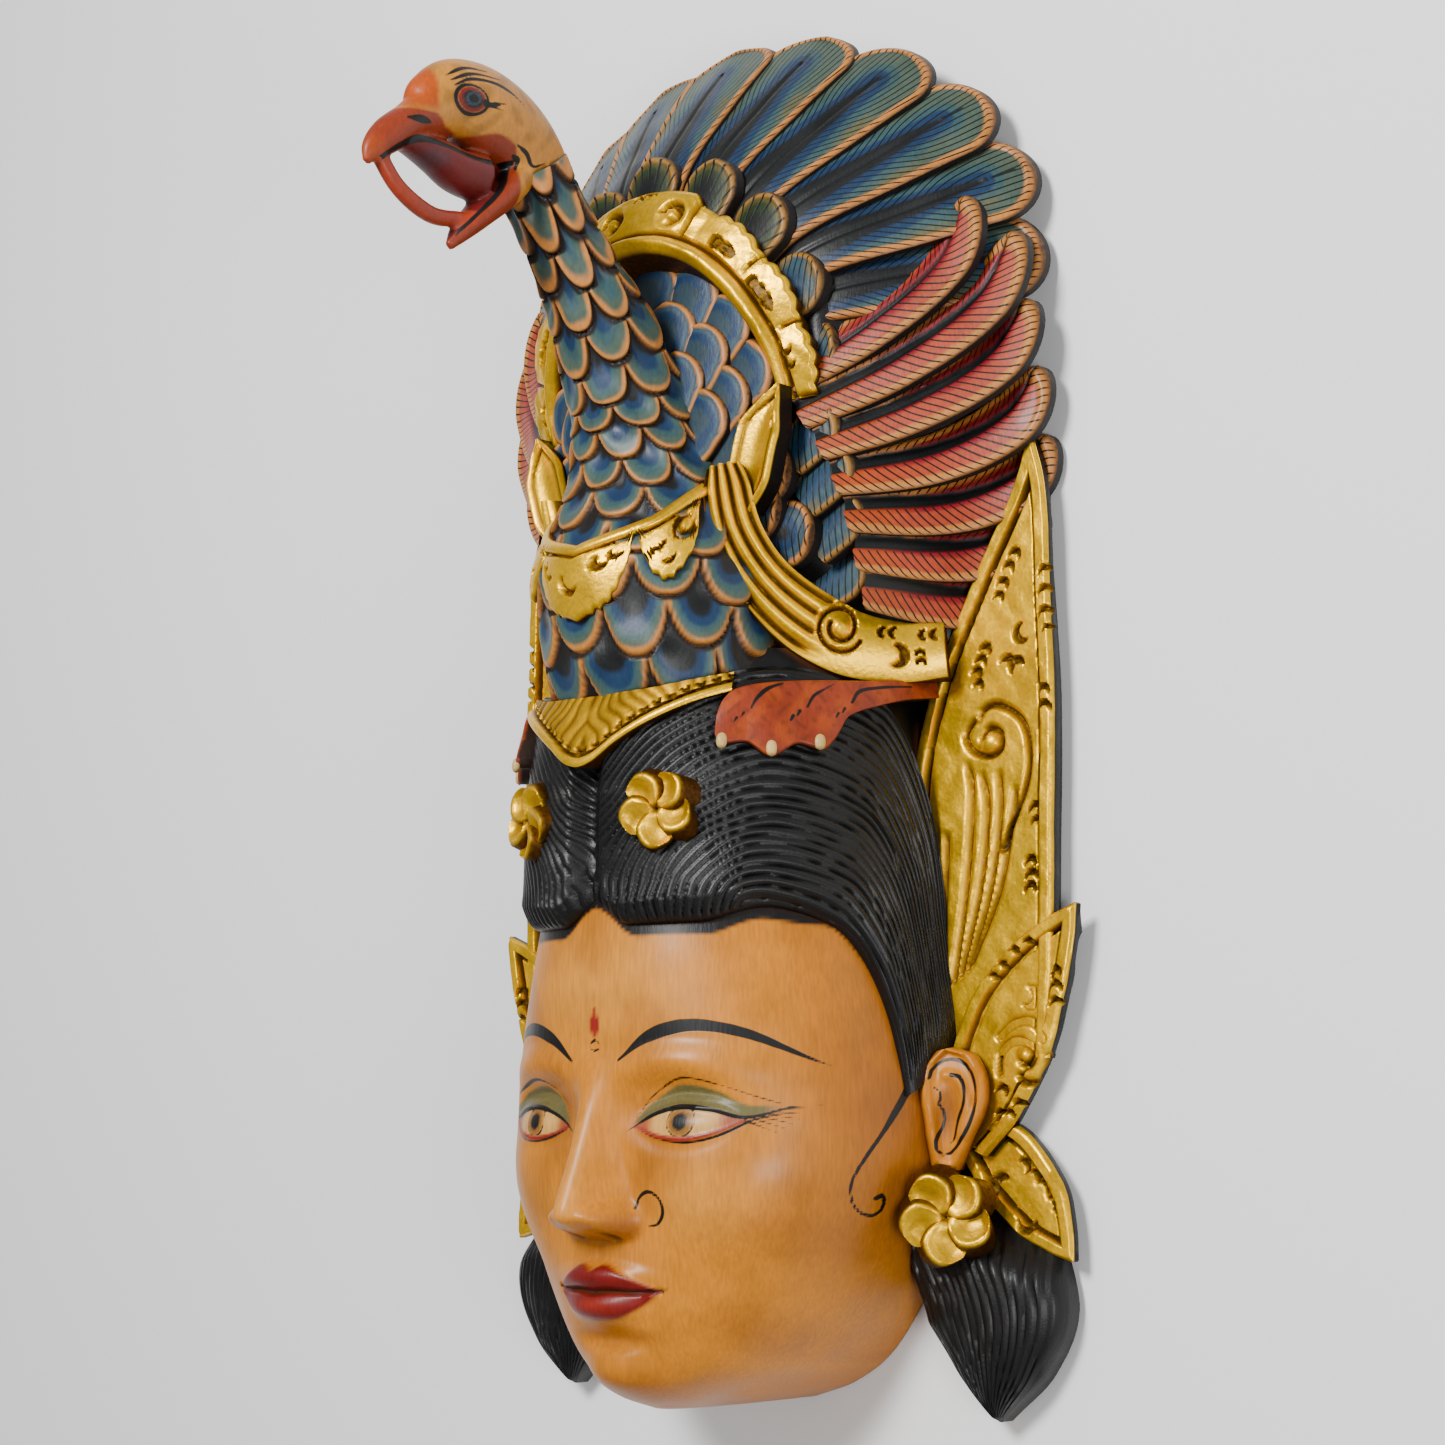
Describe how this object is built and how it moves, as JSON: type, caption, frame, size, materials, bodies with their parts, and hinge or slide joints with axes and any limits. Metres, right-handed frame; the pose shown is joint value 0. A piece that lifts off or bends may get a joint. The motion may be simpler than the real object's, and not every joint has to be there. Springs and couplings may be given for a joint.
{
  "type": "carved wooden wall mask",
  "caption": "Painted and gilt wooden mask: a calm face under black hair, flower ornaments and gold leaves, crowned by a long-necked bird with an open feather fan.",
  "frame": {"origin": "middle of the outline on the flat back, which is the lowest plane when the mask lies face up", "axes": "+Z out of the face, +Y up the mask from chin to feather tips, +X to the viewer's right"},
  "size_m": [0.2746, 0.5, 0.2102],
  "materials": {
    "painted_wood": "hand carved, painted and gilt, under a thin gloss varnish"
  },
  "bodies": {
    "root": {"mask": "painted_wood"}
  },
  "joints": []
}
